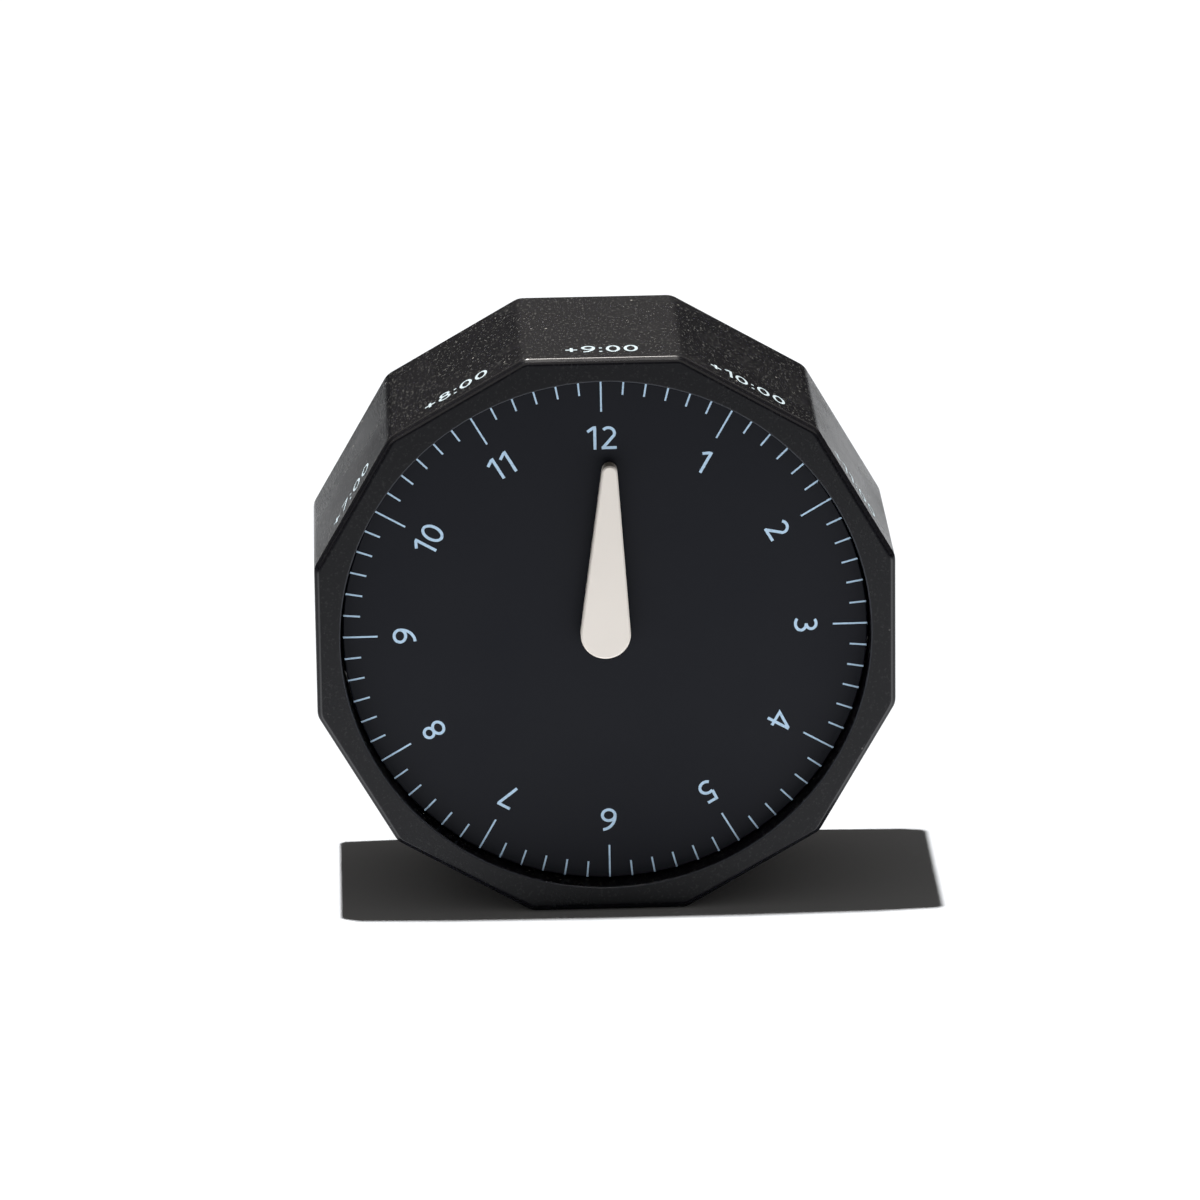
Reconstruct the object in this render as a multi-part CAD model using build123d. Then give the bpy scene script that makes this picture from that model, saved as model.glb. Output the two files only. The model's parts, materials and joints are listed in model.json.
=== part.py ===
from build123d import *
import os
from math import acos, cos, radians, sin, sqrt

os.makedirs("parts", exist_ok=True)

# A twelve-sided desk clock with one hand, in millimetres.
# +Z is up, the front looks towards -Y, and the clock stands on its lowest facet at z = 0.
# Depths are y values; places across the clock are (x, height above the clock's axis).

# Body
facet_count = 12
flat_radius = 60.0
body_depth = 48.0
wall = 2.5
corner_round = 4.0
face_edge_bevel = 1.0
rim_edge_bevel = 0.25
bezel_width = 5.1
well_depth = 9.0

# Dial and hand
dial_recess = 4.8
dial_thickness = 2.0
dial_gap = 0.5
dial_hole_gap = 0.2
dial_skirt_wall = 1.5
dial_skirt_gap = 0.3
hand_length = 36.6
hand_angle = 2.0
hand_hub_radius = 5.2
hand_tip_radius = 1.6
hand_thickness = 3.0
hand_gap = 0.6
hand_edge_bevel = 0.35
hand_socket_depth = 2.0

# Fits
running_gap = 0.05
loose_gap = 0.3
seat_gap = 0.1

# Bearing tube and hub that the dial turns on
pipe_radius = 2.2
arbor_radius = 0.8
tube_wall = 1.75
tube_flange_radius = 8.0
tube_flange_thickness = 1.5
tube_collar_radius = 6.0
tube_collar_thickness = 1.5
tube_front_gap = 0.5
hub_flange_width = 8.0
hub_flange_thickness = 1.5
hub_sleeve_wall = 3.0
hub_length = 9.2
clip_rim = 0.9
clip_thickness = 0.6
clip_groove = 0.4

# Counterweight on the back of the dial
bob_width = 21.5
bob_half_angle = 48.0
bob_thickness = 8.0
bob_corner_round = 2.5
bob_gap = 0.5
bob_screw_angles = (-32.0, 0.0, 32.0)
bob_screw_head_radius = 3.6
boss_radius = 2.4
boss_gap = 0.2

# Chassis plate
chassis_thickness = 2.0
chassis_rim = 2.3
chassis_arm_width = 10.0
chassis_post_radius = 4.0
chassis_post_inset = 3.5
chassis_post_web = 6.0
chassis_post_angles = (45.0, 135.0, 225.0, 315.0)

# Rear cover and its screws
cover_thickness = 2.5
cover_inset = 0.6
cover_gap = 0.2
cover_post_radius = 3.5
cover_post_angles = (30.0, 90.0, 150.0, 210.0, 270.0, 330.0)
cover_corner_round = 2.0

# Screws
screw_radius = 1.1
screw_length = 6.0
screw_head_radius = 2.1
screw_head_height = 1.3
screw_slot_width = 0.6
screw_slot_depth = 0.7
screw_seat_gap = 0.2

# Movement case
case_size = 56.0
case_depth = 15.0
case_wall = 1.0
case_corner_bevel = 3.0
case_cover_gap = 0.9
case_pillar_radius = 2.4
case_pillar_inset = 4.2
middle_plate_thickness = 0.8

# Motion work, from the centre arbor to the hand
motion_distance = 12.0
cannon_teeth = 12
minute_wheel_teeth = 36
minute_pinion_teeth = 12
hour_teeth = 48
setting_teeth = 18
setting_angle = 90.0
wheel_thickness = 0.8
pinion_thickness = 1.2
layer_gap = 0.4
setting_shaft_radius = 1.5
knob_radius = 5.4
knob_thickness = 2.6
knob_gap = 0.8
knob_inset = 0.2
knob_ribs = 18
knob_groove = 0.8
knob_groove_angle = 45.0

# Going train, from the rotor to the centre arbor
train_module = 0.3
centre_wheel_teeth = 60
third_pinion_teeth = 12
third_wheel_teeth = 60
intermediate_pinion_teeth = 10
intermediate_wheel_teeth = 60
rotor_pinion_teeth = 10
third_angle = 150.0
intermediate_angle = 250.0
rotor_angle = 290.0
pivot_radius = 0.5
pivot_depth = 0.5
pivot_boss_radius = 1.5
magnet_radius = 2.8
magnet_thickness = 2.2
wheel_rim = 1.6
wheel_hub_wall = 1.0
spoke_width = 1.2
spoke_count = 4

# Tooth shape: heights as shares of the module, widths as shares of the pitch
addendum_share = 0.80
dedendum_share = 1.25
root_width_share = 0.60
tip_width_share = 0.16

# Stator, coil and circuit
stator_thickness = 0.8
stator_gap = 0.4
stator_bridge = 1.4
stator_leg_width = 3.8
coil_length = 14.0
coil_radius = 2.4
coil_edge_bevel = 0.4
coil_core_width = 2.4
coil_core_height = 1.4
coil_offset = 8.2
flange_thickness = 0.7
flange_radius = 2.9
board_width = 21.0
board_height = 13.0
board_thickness = 0.8
board_margin = 2.8
chip_size = 4.0
chip_thickness = 1.0
crystal_radius = 1.0
crystal_length = 6.0

# Battery, its contacts and its tray, an AA cell
battery_radius = 7.25
battery_length = 49.0
battery_tip_radius = 2.75
battery_tip_length = 1.3
battery_edge_bevel = 0.6
tray_wall = 1.2
tray_case_gap = 0.15
tray_end_room = 2.8
tray_side_gap = 0.6
contact_thickness = 0.4
contact_width = 9.0
contact_button_radius = 1.4
spring_bow_height = 7.0
spring_bend_radius = 0.7
lead_width = 1.2
lead_thickness = 0.4
lead_hole_gap = 0.2
lead_spread = 6.0
lead_overlap = 1.0

# Battery door
door_thickness = 1.8
door_gap = 0.25
door_ledge = 0.8
door_pin_radius = 0.5
door_pin_length = 1.5
door_barrel_radius = 0.9
door_tongue_width = 9.0
door_tongue_length = 5.0
door_slit = 0.9
door_notch_radius = 6.0
door_corner_round = 1.5

# Sides of the small forms that repeat: screws, their holes, posts and pivots
peg_sides = 8
head_sides = 12

# Overrun of every cut
overrun = 1.0

# Sizes worked out from the ones above
opening_radius = flat_radius - bezel_width
tube_radius = pipe_radius + running_gap + tube_wall
clip_radius = tube_radius + clip_rim
dial_hole_radius = clip_radius + dial_hole_gap
chassis_post_centre = flat_radius - wall - chassis_post_inset
bob_outer_radius = chassis_post_centre - chassis_post_radius - bob_gap
bob_inner_radius = bob_outer_radius - bob_width
bob_screw_centre = (bob_outer_radius + bob_inner_radius) / 2
case_half = case_size / 2
pillar_offset = case_half - case_pillar_inset
chassis_radius = pillar_offset * sqrt(2) + chassis_rim

# Levels
front_y = -body_depth / 2
back_y = body_depth / 2
dial_y = front_y + dial_recess
dial_back_y = dial_y + dial_thickness
well_back_y = front_y + well_depth
hand_back_y = dial_y - hand_gap
hand_front_y = hand_back_y - hand_thickness
cover_back_y = back_y - cover_inset
cover_front_y = cover_back_y - cover_thickness
case_back_y = cover_front_y - case_cover_gap
case_front_y = case_back_y - case_depth
case_joint_y = case_front_y + case_depth / 2
chassis_front_y = case_front_y - chassis_thickness
axis_height = flat_radius
inner_flat = flat_radius - wall
dial_radius = opening_radius - dial_gap
cover_post_circle = inner_flat - cover_post_radius
case_inner_back_y = case_back_y - case_wall
board_front_y = case_inner_back_y - board_thickness
board_left = case_half - board_margin - board_width
board_bottom = board_margin - case_half
board_middle = (board_left + board_width / 2, board_bottom + board_height / 2)
lead_front_y = board_front_y - lead_width


def across(depth):
    """The plane that faces the front at a depth: sketch x is x, sketch y is height above the axis."""
    return Plane(origin=(0, depth, axis_height), x_dir=(1, 0, 0), z_dir=(0, -1, 0))


def slab(sketch, front, back):
    """A plate of the sketch's outline, from the front depth to the back depth."""
    return extrude(across(back) * sketch, amount=back - front)


def disc(radius, front, back, place=(0, 0)):
    return slab(Pos(*place) * Circle(radius), front, back)


def peg(radius, front, back, place, sides=peg_sides):
    """A small form with plain sides instead of a round one."""
    return slab(Pos(*place) * RegularPolygon(radius, sides), front, back)


def ring(outer, inner, front, back, place=(0, 0)):
    return disc(outer, front, back, place) - disc(inner, front - overrun, back + overrun, place)


def polar(radius, angle, start=(0, 0)):
    """The place at a distance and an angle from another place."""
    return (start[0] + radius * cos(radians(angle)), start[1] + radius * sin(radians(angle)))


def facets(flat):
    """A regular outline with a facet at the bottom, by its flat radius."""
    return RegularPolygon(flat, facet_count, major_radius=False, rotation=180 / facet_count)


def depth_edges(solid):
    return solid.edges().filter_by(Axis.Y)


def face_edges(solid, depth):
    """The edges that lie in the plane at a depth."""
    return solid.edges().filter_by_position(Axis.Y, depth - rim_edge_bevel, depth + rim_edge_bevel)


# Gears


def tooth_outline(teeth, module, tooth_angle):
    """The points of a gear with straight-sided teeth, one of them centred on tooth_angle."""
    pitch_radius = teeth * module / 2
    root_radius = pitch_radius - dedendum_share * module
    tip_radius = pitch_radius + addendum_share * module
    pitch = 360 / teeth
    root_half = root_width_share * pitch / 2
    tip_half = tip_width_share * pitch / 2
    points = []
    for index in range(teeth):
        middle = tooth_angle + index * pitch
        points += [polar(root_radius, middle - root_half), polar(tip_radius, middle - tip_half)]
        points += [polar(tip_radius, middle + tip_half), polar(root_radius, middle + root_half)]
    return points


def gear(teeth, module, tooth_angle, front, back, place=(0, 0)):
    outline = Polygon(*tooth_outline(teeth, module, tooth_angle), align=None)
    return slab(Pos(*place) * outline, front, back)


def mesh_angle(tooth_angle, teeth, direction, mate_teeth):
    """Where the mate has a tooth, so that the two gears mesh along a direction."""
    share = ((direction - tooth_angle) * teeth / 360) % 1
    return direction + 180 + (share + 1 / 2) * 360 / mate_teeth


def spoked(wheel, teeth, module, hub_radius, front, back, place):
    """Cut the windows that leave a wheel its rim, its hub and its spokes."""
    window_radius = teeth * module / 2 - wheel_rim
    window = Circle(window_radius) - Circle(hub_radius)
    for index in range(spoke_count // 2):
        window -= Rot(0, 0, index * 360 / spoke_count) * Rectangle(window_radius * 2 + overrun, spoke_width)
    return wheel - slab(Pos(*place) * window, front - overrun, back + overrun)


def screw(place, seat_depth, head_radius=screw_head_radius, length=screw_length):
    """A slotted screw driven from behind: its head's underside lies at seat_depth."""
    head = peg(head_radius, seat_depth, seat_depth + screw_head_height, place, head_sides)
    shank = peg(screw_radius, seat_depth - length, seat_depth, place)
    slot = slab(
        Pos(*place) * Rectangle(head_radius * 2 + overrun, screw_slot_width),
        seat_depth + screw_head_height - screw_slot_depth,
        seat_depth + screw_head_height + overrun,
    )
    return head + shank - slot


def group(solids):
    return Compound(children=list(solids))


# Housing


def make_front_housing():
    body = slab(facets(flat_radius), front_y, back_y)
    body = fillet(depth_edges(body), corner_round)
    body = chamfer(face_edges(body, front_y) + face_edges(body, back_y), face_edge_bevel)
    hollow = slab(facets(inner_flat), well_back_y, back_y + overrun)
    hollow = fillet(depth_edges(hollow), cover_corner_round)
    body -= hollow
    body -= disc(opening_radius, front_y - overrun, well_back_y + overrun)
    rim = face_edges(body, front_y).filter_by(GeomType.CIRCLE)
    body = chamfer(rim, rim_edge_bevel)
    for angle in cover_post_angles:
        place = polar(cover_post_circle, angle)
        body += peg(cover_post_radius, well_back_y, cover_front_y, place)
        body -= peg(screw_radius, cover_front_y - screw_length, cover_front_y + overrun, place)
    for angle in chassis_post_angles:
        place = polar(chassis_post_centre, angle)
        link = Rot(0, 0, angle) * Pos(chassis_post_centre + chassis_post_web / 2, 0)
        link *= Rectangle(chassis_post_web, chassis_post_radius)
        body += peg(chassis_post_radius, well_back_y, chassis_front_y, place)
        body += slab(link, well_back_y, chassis_front_y)
        body -= peg(screw_radius, chassis_front_y - screw_length, chassis_front_y + overrun, place)
    return body


# Dial


def make_dial():
    plate = disc(dial_radius, dial_y, dial_back_y)
    plate = chamfer(face_edges(plate, dial_y), rim_edge_bevel)
    skirt_back = well_back_y - dial_skirt_gap
    plate += ring(dial_radius, dial_radius - dial_skirt_wall, dial_back_y, skirt_back)
    plate -= disc(dial_hole_radius, dial_y - overrun, dial_back_y + overrun)
    for angle in bob_screw_angles:
        place = polar(bob_screw_centre, angle - 90)
        plate += peg(boss_radius, dial_back_y, dial_back_y + bob_thickness - boss_gap, place)
        plate -= peg(screw_radius, dial_back_y + bob_thickness - screw_length,
                     dial_back_y + bob_thickness + overrun, place)
    return plate


def make_dial_hub():
    hub = disc(tube_radius + hub_flange_width, dial_back_y, dial_back_y + hub_flange_thickness)
    hub += disc(tube_radius + hub_sleeve_wall, dial_back_y, dial_back_y + hub_length)
    return hub - disc(tube_radius + running_gap, dial_back_y - overrun, dial_back_y + hub_length + overrun)


def make_retaining_clip():
    back = dial_back_y - seat_gap
    clip = ring(clip_radius, tube_radius - clip_groove, back - clip_thickness, back)
    mouth = Pos(0, -clip_radius) * Rectangle(tube_radius, clip_radius * 2)
    return clip - slab(mouth, back - clip_thickness - overrun, back + overrun)


def make_counterweight():
    front = dial_back_y
    back = dial_back_y + bob_thickness
    reach = bob_outer_radius / cos(radians(bob_half_angle)) + overrun
    ends = (polar(reach, -90 - bob_half_angle), polar(reach, -90 + bob_half_angle))
    wedge = Polygon((0, 0), *ends, align=None)
    outline = (Circle(bob_outer_radius) - Circle(bob_inner_radius)) & wedge
    outline = fillet(outline.vertices(), bob_corner_round)
    weight = slab(outline, front, back)
    for angle in bob_screw_angles:
        weight -= peg(boss_radius + boss_gap, front - overrun, back + overrun,
                      polar(bob_screw_centre, angle - 90))
    return weight


def make_counterweight_screws():
    seat = dial_back_y + bob_thickness
    places = [polar(bob_screw_centre, angle - 90) for angle in bob_screw_angles]
    return group(screw(place, seat, bob_screw_head_radius) for place in places)


# Hand


def make_hour_hand():
    reach = hand_length - hand_tip_radius
    lean = acos((hand_hub_radius - hand_tip_radius) / reach)
    flank = Polygon(
        (-hand_hub_radius * sin(lean), hand_hub_radius * cos(lean)),
        (hand_hub_radius * sin(lean), hand_hub_radius * cos(lean)),
        (hand_tip_radius * sin(lean), reach + hand_tip_radius * cos(lean)),
        (-hand_tip_radius * sin(lean), reach + hand_tip_radius * cos(lean)),
        align=None,
    )
    outline = Circle(hand_hub_radius) + Pos(0, reach) * Circle(hand_tip_radius) + flank
    hand = slab(Rot(0, 0, -hand_angle) * outline, hand_front_y, hand_back_y)
    hand = chamfer(face_edges(hand, hand_front_y), hand_edge_bevel)
    return hand - disc(pipe_radius, hand_back_y - hand_socket_depth, hand_back_y + overrun)


# Bearing and chassis


def make_bearing_tube():
    front = dial_y + tube_front_gap
    tube = disc(tube_radius, front, case_front_y)
    tube += disc(tube_flange_radius, chassis_front_y - tube_flange_thickness, chassis_front_y)
    collar_front = dial_back_y + hub_length + seat_gap
    tube += disc(tube_collar_radius, collar_front, collar_front + tube_collar_thickness)
    clip_back = dial_back_y - seat_gap
    tube -= ring(tube_radius + overrun, tube_radius - clip_groove, clip_back - clip_thickness, clip_back)
    return tube - disc(pipe_radius + running_gap, front - overrun, case_front_y + overrun)


def make_chassis_plate():
    outline = Circle(chassis_radius)
    for angle in chassis_post_angles:
        arm = Pos(chassis_post_centre / 2, 0) * Rectangle(chassis_post_centre, chassis_arm_width)
        end = RegularPolygon(chassis_arm_width / 2, peg_sides)
        outline += Rot(0, 0, angle) * arm + Pos(*polar(chassis_post_centre, angle)) * end
    for angle in chassis_post_angles:
        hole = RegularPolygon(screw_radius + screw_seat_gap, peg_sides)
        outline -= Pos(*polar(chassis_post_centre, angle)) * hole
    for place in pillar_places():
        outline -= Pos(*place) * RegularPolygon(screw_radius, peg_sides)
    outline -= Circle(tube_radius)
    return slab(outline, chassis_front_y, case_front_y)


def make_chassis_screws():
    return group(screw(polar(chassis_post_centre, angle), case_front_y) for angle in chassis_post_angles)


# Rear cover and battery door

tray_half_length = battery_length / 2 + tray_end_room
tray_half_height = battery_radius + tray_side_gap
battery_height = -(case_half + tray_case_gap + tray_wall + tray_half_height)
door_half_length = tray_half_length - tray_wall
door_bottom = battery_height - tray_half_height
door_top = battery_height + tray_half_height
tray_front_y = case_front_y + loose_gap
battery_y = tray_front_y + tray_wall + loose_gap + battery_radius
door_front_y = cover_back_y - door_thickness
hinge_y = cover_back_y - door_barrel_radius
hinge_height = door_bottom + door_barrel_radius
knob_back_y = cover_back_y - knob_inset
minute_place = (motion_distance, 0)
motion_module = motion_distance * 2 / (cannon_teeth + minute_wheel_teeth)
hour_module = motion_distance * 2 / (minute_pinion_teeth + hour_teeth)
setting_distance = motion_module * (minute_wheel_teeth + setting_teeth) / 2
setting_place = polar(setting_distance, setting_angle, minute_place)


def hinge_plane():
    """The plane across the battery door's hinge line."""
    return Plane(origin=(0, hinge_y, axis_height + hinge_height), x_dir=(0, 1, 0), z_dir=(1, 0, 0))


def make_rear_cover():
    flat = inner_flat - cover_gap
    cover = slab(facets(flat), cover_front_y, cover_back_y)
    cover = fillet(depth_edges(cover), cover_corner_round)
    for angle in cover_post_angles:
        place = polar(cover_post_circle, angle)
        cover -= peg(screw_radius + screw_seat_gap, cover_front_y - overrun, cover_back_y + overrun, place)
        cover -= peg(screw_head_radius + screw_seat_gap, cover_back_y - screw_head_height,
                     cover_back_y + overrun, place, head_sides)
    cover -= disc(knob_radius + knob_gap, cover_front_y - overrun, cover_back_y + overrun, setting_place)
    tray = slab(Pos(0, battery_height) * Rectangle((tray_half_length + tray_wall) * 2,
                                                   (tray_half_height + tray_wall) * 2),
                tray_front_y, cover_front_y)
    cover += tray
    room = slab(Pos(0, battery_height) * Rectangle(tray_half_length * 2, tray_half_height * 2),
                tray_front_y + tray_wall, door_front_y - loose_gap)
    cover -= room
    hole = slab(Pos(0, battery_height) * Rectangle((door_half_length - door_ledge) * 2, tray_half_height * 2),
                door_front_y - loose_gap - overrun, cover_back_y + overrun)
    cover -= hole
    sill = slab(Pos(0, battery_height) * Rectangle((door_half_length + door_gap) * 2,
                                                   (tray_half_height + door_gap) * 2),
                door_front_y - seat_gap, cover_back_y + overrun)
    cover -= sill
    pin_hole = extrude(hinge_plane() * Circle(door_pin_radius + running_gap),
                       amount=door_half_length + door_pin_length + seat_gap, both=True)
    cover -= pin_hole
    notch = Pos(0, door_top + door_gap) * Circle(door_notch_radius)
    cover -= slab(notch, cover_back_y - door_thickness, cover_back_y + overrun)
    for side in (-1, 1):
        cover -= lead_hole(side)
    return cover


def make_battery_door():
    door = slab(
        Pos(0, (hinge_height + door_top) / 2) * Rectangle(door_half_length * 2, door_top - hinge_height),
        door_front_y, cover_back_y)
    round_edges = depth_edges(door).group_by(Axis.Z)[-1]
    door = fillet(round_edges, door_corner_round)
    door += extrude(hinge_plane() * Circle(door_barrel_radius), amount=door_half_length, both=True)
    door += extrude(hinge_plane() * Circle(door_pin_radius), amount=door_half_length + door_pin_length,
                    both=True)
    for side in (-1, 1):
        slit = Pos(side * (door_tongue_width + door_slit) / 2, door_top - door_tongue_length / 2)
        door -= slab(slit * Rectangle(door_slit, door_tongue_length + door_slit),
                     door_front_y - overrun, cover_back_y + overrun)
    return door


def make_cover_screws():
    seat = cover_back_y - screw_head_height
    return group(screw(polar(cover_post_circle, angle), seat) for angle in cover_post_angles)


# Battery and contacts


def along(offset):
    """The plane across the battery at an offset from its middle."""
    return Plane(origin=(offset, battery_y, axis_height + battery_height), x_dir=(0, 1, 0), z_dir=(1, 0, 0))


def make_battery():
    body = extrude(along(-battery_length / 2) * Circle(battery_radius), amount=battery_length)
    body = chamfer(body.edges().filter_by(GeomType.CIRCLE), battery_edge_bevel)
    tip = extrude(along(battery_length / 2) * Circle(battery_tip_radius), amount=battery_tip_length)
    return body + tip


def make_battery_plate():
    back = tray_half_length
    blade = extrude(along(back - contact_thickness) * Rectangle(contact_width, contact_width),
                    amount=contact_thickness)
    reach = back - contact_thickness - battery_length / 2 - battery_tip_length
    return blade + extrude(along(battery_length / 2 + battery_tip_length) * Circle(contact_button_radius),
                           amount=reach)


def make_battery_spring():
    """A strip bent back on itself: one leg lies on the tray's end, the bowed one presses the cell."""
    wall_x = -tray_half_length + contact_thickness / 2
    cell_x = -battery_length / 2 - contact_thickness / 2
    low = battery_height - spring_bow_height / 2
    high = battery_height + spring_bow_height / 2
    bend_x = wall_x + spring_bend_radius * 2
    leg = Line((wall_x, battery_height + contact_width / 2), (wall_x, low))
    bend_bottom = (wall_x + spring_bend_radius, low - spring_bend_radius)
    bend = ThreePointArc((wall_x, low), bend_bottom, (bend_x, low))
    bow = ThreePointArc((bend_x, low), (cell_x, battery_height), (bend_x, high))
    strip = trace([leg, bend, bow], line_width=contact_thickness)
    return slab(strip, battery_y - contact_width / 2, battery_y + contact_width / 2)


def lead_x(side):
    """Where a lead passes from the tray into the movement case."""
    return board_middle[0] + side * lead_spread


def lead_hole(side):
    """The slot for a lead through the tray's upper wall and the wall of the case."""
    top = case_wall + overrun - case_half
    middle = Pos(lead_x(side), (battery_height + top) / 2)
    slot = middle * Rectangle(lead_thickness + lead_hole_gap * 2, top - battery_height)
    return slab(slot, lead_front_y - lead_hole_gap, board_front_y + lead_hole_gap)


def make_battery_leads():
    """A brass strip from each contact, along the tray's upper wall and on to the circuit board."""
    leads = []
    run_height = battery_height + tray_half_height - lead_thickness / 2 - seat_gap
    for side in (-1, 1):
        contact_x = side * (tray_half_length - lead_thickness / 2)
        path = Polyline(
            (contact_x, battery_height + contact_width / 2),
            (contact_x, run_height),
            (lead_x(side), run_height),
            (lead_x(side), board_bottom + lead_overlap),
        )
        leads.append(slab(trace(path, line_width=lead_thickness), lead_front_y, board_front_y))
    return group(leads)


# Movement case


def case_outline(size, bevel):
    return chamfer(Rectangle(size, size).vertices(), bevel)


def pillar_places():
    return [(side * pillar_offset, level * pillar_offset) for side in (-1, 1) for level in (-1, 1)]


hour_wheel_y = case_front_y + case_wall + layer_gap
motion_y = hour_wheel_y + pinion_thickness + layer_gap
middle_y = motion_y + pinion_thickness + layer_gap
centre_wheel_y = middle_y + middle_plate_thickness + layer_gap
third_wheel_y = centre_wheel_y + pinion_thickness + layer_gap
intermediate_wheel_y = third_wheel_y + pinion_thickness + layer_gap
rotor_y = intermediate_wheel_y + pinion_thickness + layer_gap
pivot_boss_y = rotor_y + magnet_thickness + layer_gap
third_distance = train_module * (centre_wheel_teeth + third_pinion_teeth) / 2
intermediate_distance = train_module * (third_wheel_teeth + intermediate_pinion_teeth) / 2
rotor_distance = train_module * (intermediate_wheel_teeth + rotor_pinion_teeth) / 2
third_place = polar(third_distance, third_angle)
intermediate_place = polar(intermediate_distance, intermediate_angle, third_place)
rotor_place = polar(rotor_distance, rotor_angle, intermediate_place)


def make_movement_case_front():
    shell = slab(case_outline(case_size, case_corner_bevel), case_front_y, case_joint_y)
    inner = case_size - case_wall * 2
    shell -= slab(case_outline(inner, case_corner_bevel - case_wall), case_front_y + case_wall,
                  case_joint_y + overrun)
    for place in pillar_places():
        shell += peg(case_pillar_radius, case_front_y + case_wall, middle_y, place)
        shell -= peg(screw_radius + screw_seat_gap, case_front_y - overrun, middle_y + overrun, place)
    shell -= disc(pipe_radius + running_gap, case_front_y - overrun, case_front_y + case_wall + overrun)
    shell -= peg(pivot_radius + running_gap, case_front_y + case_wall - pivot_depth,
                 case_front_y + case_wall + overrun, minute_place)
    return shell


def make_movement_case_back():
    shell = slab(case_outline(case_size, case_corner_bevel), case_joint_y, case_back_y)
    inner = case_size - case_wall * 2
    shell -= slab(case_outline(inner, case_corner_bevel - case_wall), case_joint_y - overrun,
                  case_inner_back_y)
    for place in pillar_places():
        shell += peg(case_pillar_radius, middle_y + middle_plate_thickness, case_back_y, place)
        shell -= peg(screw_radius + screw_seat_gap, middle_y, case_back_y + overrun, place)
        shell -= peg(screw_head_radius + screw_seat_gap, case_back_y - screw_head_height,
                     case_back_y + overrun, place, head_sides)
    shell -= disc(setting_shaft_radius + running_gap, case_joint_y, case_back_y + overrun, setting_place)
    for side in (-1, 1):
        shell -= lead_hole(side)
    hole_end_y = pivot_boss_y + pivot_depth + seat_gap
    for place in (third_place, intermediate_place, rotor_place):
        shell += peg(pivot_boss_radius, pivot_boss_y, case_inner_back_y, place)
        shell -= peg(pivot_radius + running_gap, pivot_boss_y - overrun, hole_end_y, place)
    return shell


def make_middle_plate():
    inner = case_size - case_wall * 2 - running_gap * 2
    back = middle_y + middle_plate_thickness
    plate = slab(case_outline(inner, case_corner_bevel - case_wall), middle_y, back)
    for place in pillar_places():
        plate -= peg(screw_radius + screw_seat_gap, middle_y - overrun, back + overrun, place)
    plate -= disc(arbor_radius + running_gap, middle_y - overrun, back + overrun)
    plate -= disc(setting_shaft_radius + running_gap, middle_y - overrun, back + overrun, setting_place)
    for place in (third_place, intermediate_place, rotor_place, minute_place):
        plate -= peg(pivot_radius + running_gap, middle_y - overrun, back + overrun, place)
    return plate


def make_movement_screws():
    seat = case_back_y - screw_head_height
    return group(screw(place, seat, length=seat - chassis_front_y) for place in pillar_places())


# Motion work and going train

cannon_tooth = 0
minute_tooth = mesh_angle(cannon_tooth, cannon_teeth, 0, minute_wheel_teeth)
hour_tooth = 0
minute_pinion_tooth = mesh_angle(hour_tooth, hour_teeth, 0, minute_pinion_teeth)
setting_tooth = mesh_angle(minute_tooth, minute_wheel_teeth, setting_angle, setting_teeth)
centre_tooth = 0
third_pinion_tooth = mesh_angle(centre_tooth, centre_wheel_teeth, third_angle, third_pinion_teeth)
third_tooth = 0
intermediate_pinion_tooth = mesh_angle(third_tooth, third_wheel_teeth, intermediate_angle,
                                       intermediate_pinion_teeth)
intermediate_tooth = 0
rotor_tooth = mesh_angle(intermediate_tooth, intermediate_wheel_teeth, rotor_angle, rotor_pinion_teeth)


def make_hour_wheel():
    wheel = gear(hour_teeth, hour_module, hour_tooth, hour_wheel_y, hour_wheel_y + wheel_thickness)
    return wheel + disc(pipe_radius, hand_back_y - hand_socket_depth, hour_wheel_y + wheel_thickness)


def make_minute_wheel():
    wheel = gear(minute_wheel_teeth, motion_module, minute_tooth, motion_y, motion_y + wheel_thickness,
                 minute_place)
    wheel = spoked(wheel, minute_wheel_teeth, motion_module, pivot_radius + wheel_hub_wall, motion_y,
                   motion_y + wheel_thickness, minute_place)
    pinion = gear(minute_pinion_teeth, hour_module, minute_pinion_tooth, hour_wheel_y, motion_y, minute_place)
    arbor = peg(pivot_radius, case_front_y + case_wall - pivot_depth + seat_gap, middle_y + pivot_depth,
                minute_place)
    return wheel + pinion + arbor


def make_cannon_pinion():
    pinion = gear(cannon_teeth, motion_module, cannon_tooth, motion_y, motion_y + pinion_thickness)
    return pinion + disc(arbor_radius, motion_y, third_wheel_y)


def make_setting_knob():
    back = motion_y + pinion_thickness
    wheel = gear(setting_teeth, motion_module, setting_tooth, motion_y, back, setting_place)
    shaft = disc(setting_shaft_radius, motion_y, knob_back_y, setting_place)
    knob = disc(knob_radius, knob_back_y - knob_thickness, knob_back_y, setting_place)
    for index in range(knob_ribs):
        angle = index * 360 / knob_ribs
        groove = Pos(*polar(knob_radius, angle, setting_place)) * Rot(0, 0, angle)
        groove *= Rectangle(knob_groove, knob_groove, rotation=knob_groove_angle)
        knob -= slab(groove, knob_back_y - knob_thickness - overrun, knob_back_y + overrun)
    return wheel + shaft + knob


def make_centre_wheel():
    front = centre_wheel_y
    back = front + wheel_thickness
    wheel = gear(centre_wheel_teeth, train_module, centre_tooth, front, back)
    hub_radius = arbor_radius + wheel_hub_wall
    wheel = spoked(wheel, centre_wheel_teeth, train_module, hub_radius, front, back, (0, 0))
    return wheel - disc(arbor_radius + running_gap, front - overrun, back + overrun)


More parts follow.
